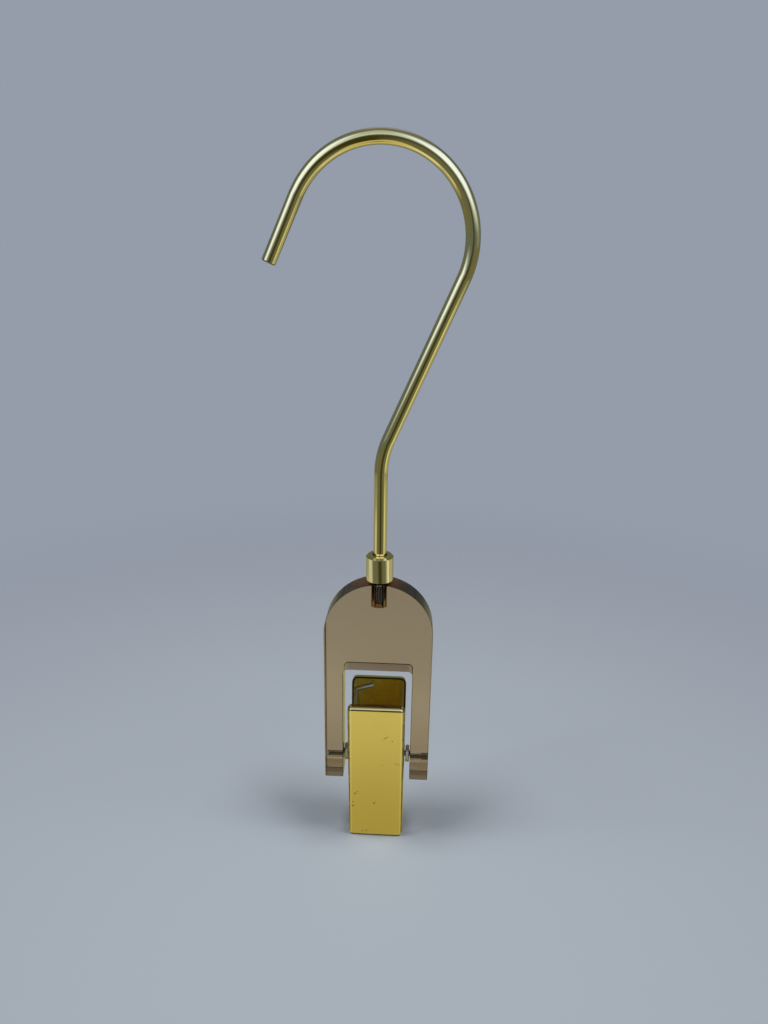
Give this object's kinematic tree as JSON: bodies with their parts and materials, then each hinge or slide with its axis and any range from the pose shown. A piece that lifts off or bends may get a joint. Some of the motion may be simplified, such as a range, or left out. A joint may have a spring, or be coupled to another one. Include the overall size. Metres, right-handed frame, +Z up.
{
  "type": "hat clip hanger",
  "caption": "Wire hook swivelling in a clear fork that carries a sprung metal clip on a cross pin, for hanging a hat or garment by its edge.",
  "frame": {"origin": "the hook's seat, the inside of its top right above the stem", "axes": "+Z up along the hook's stem, +X to the picture's right along the cross pin, -Y towards the front jaw"},
  "size_m": [0.0584, 0.0204, 0.2186],
  "materials": {
    "hook_wire": "bright pale gold plating on steel wire",
    "collar": "turned and brightly plated in pale gold",
    "swivel_insert": "dark, unpolished",
    "fork": "clear bronze-tinted acrylic with polished edges",
    "pivot_pin": "dark drawn steel",
    "spacers": "turned steel",
    "plates": "satin gold plating on pressed steel",
    "pads": "matt",
    "spring": "drawn spring wire"
  },
  "bodies": {
    "hook": {"hook_wire": "hook_wire"},
    "fork_unit": {"fork": "fork", "collar": "collar", "swivel_insert": "swivel_insert", "pivot_pin": "pivot_pin", "spacer_left": "spacers", "spacer_right": "spacers"},
    "rear_half": {"rear_jaw": "plates", "rear_pad": "pads", "torsion_spring": "spring"},
    "front_half": {"front_jaw": "plates", "front_pad": "pads"}
  },
  "joints": [
    {"name": "hook_swivel", "type": "hinge", "parent": "hook", "child": "fork_unit", "pos_m": [0, 0, -0.12057], "axis": [0, 0, 1], "continuous": true},
    {"name": "clip_swing", "type": "hinge", "parent": "fork_unit", "child": "rear_half", "pos_m": [0, 0, -0.18317], "axis": [1, 0, 0], "continuous": true},
    {"name": "jaw_open", "type": "hinge", "parent": "rear_half", "child": "front_half", "pos_m": [0, 0, -0.18317], "axis": [-1, 0, 0], "range_deg": [0, 35], "stiffness_Nm_per_rad": 0.075, "springref_deg": -68.75, "deforming": ["torsion_spring"]}
  ]
}
